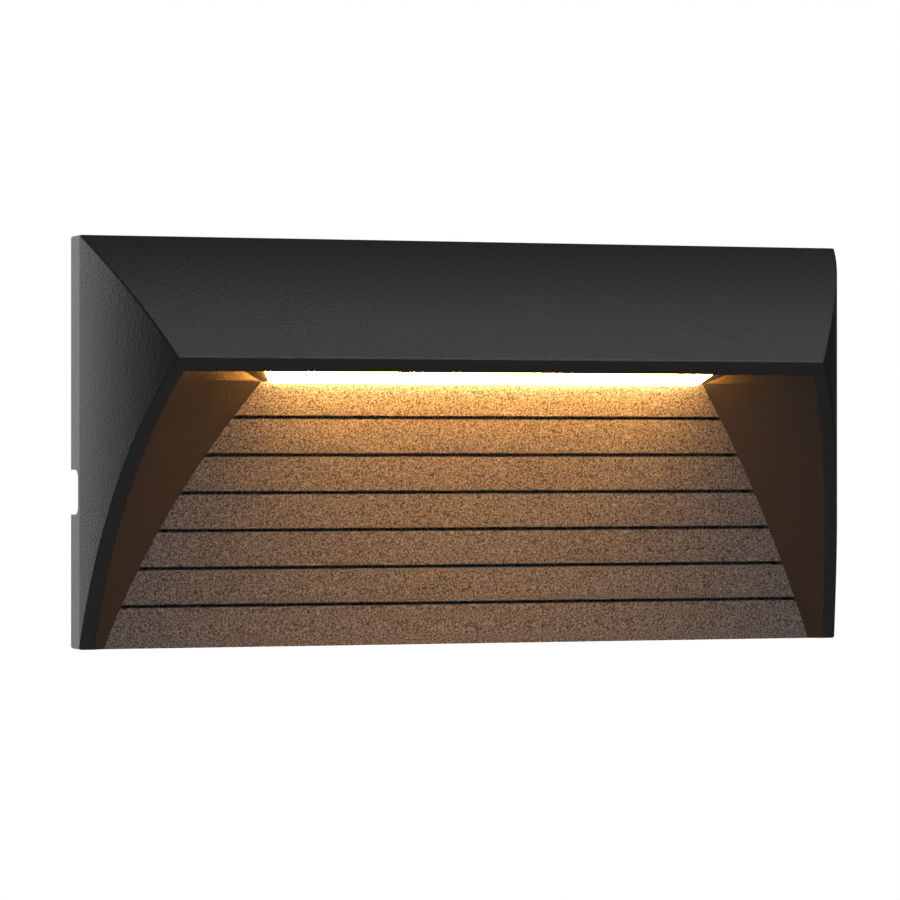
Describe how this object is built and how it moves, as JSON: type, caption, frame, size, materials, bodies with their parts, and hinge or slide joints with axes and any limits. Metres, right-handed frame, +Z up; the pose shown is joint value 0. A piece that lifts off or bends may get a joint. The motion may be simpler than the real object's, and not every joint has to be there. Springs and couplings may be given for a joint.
{
  "type": "step light",
  "caption": "Rectangular hooded step light for an outdoor wall, with an LED strip under the hood that lights a grooved panel, a driver inside and a mounting plate behind",
  "frame": {"origin": "middle of the light's back, on the wall face, where the mounting plate lies against the wall", "axes": "+X right along the wall, +Y into the wall, +Z up; the light faces -Y"},
  "size_m": [0.22, 0.0399, 0.11],
  "materials": {
    "powder_coat": "dark grey fine-textured powder coat on die-cast aluminium",
    "opal_acrylic": "milky white acrylic, satin",
    "silicone": "grey silicone",
    "black_rubber": "matte black EPDM rubber",
    "white_board": "white solder mask",
    "green_board": "green solder mask on glass-fibre laminate",
    "phosphor": "yellow phosphor lens",
    "grey_pad": "soft grey thermal pad",
    "bare_aluminium": "mill finish sheet",
    "stainless": "plain stainless steel",
    "zinc_steel": "zinc-plated steel sheet",
    "driver_plastic": "light grey flame-retardant plastic",
    "ferrite": "dark grey ferrite",
    "capacitor_can": "sleeved aluminium can",
    "terminal_plastic": "white polyamide",
    "brass": "turned brass",
    "tinned_brass": "tinned brass",
    "red_pvc": "satin PVC",
    "black_pvc": "satin PVC",
    "brown_pvc": "satin PVC",
    "blue_pvc": "satin PVC",
    "green_yellow_pvc": "satin PVC, green with a yellow stripe"
  },
  "bodies": {
    "root": {"cable_grommet": "black_rubber", "diffuser": "opal_acrylic", "diffuser_gasket": "silicone", "driver_board": "green_board", "driver_capacitor": "capacitor_can", "driver_case": "driver_plastic", "driver_inductor": "ferrite", "driver_lid": "driver_plastic", "driver_screws": "stainless", "driver_transformer": "ferrite", "earth_lead": "green_yellow_pvc", "earth_screw": "stainless", "earth_tag": "tinned_brass", "grooved_panel": "powder_coat", "housing": "powder_coat", "housing_screws": "stainless", "lead_grommet": "black_rubber", "led_board": "white_board", "led_board_screws": "stainless", "led_carrier": "bare_aluminium", "led_carrier_screws": "stainless", "led_chamber_cover": "bare_aluminium", "led_chamber_gasket": "silicone", "led_chamber_screws": "stainless", "led_lead_negative": "black_pvc", "led_lead_positive": "red_pvc", "leds": "phosphor", "live_lead": "brown_pvc", "mounting_plate": "zinc_steel", "neutral_lead": "blue_pvc", "panel_screws": "stainless", "terminal_block": "terminal_plastic", "terminal_block_screws": "stainless", "terminal_clamp_screws": "zinc_steel", "terminal_clamps": "brass", "thermal_pad": "grey_pad", "wall_seal": "black_rubber"}
  },
  "joints": []
}
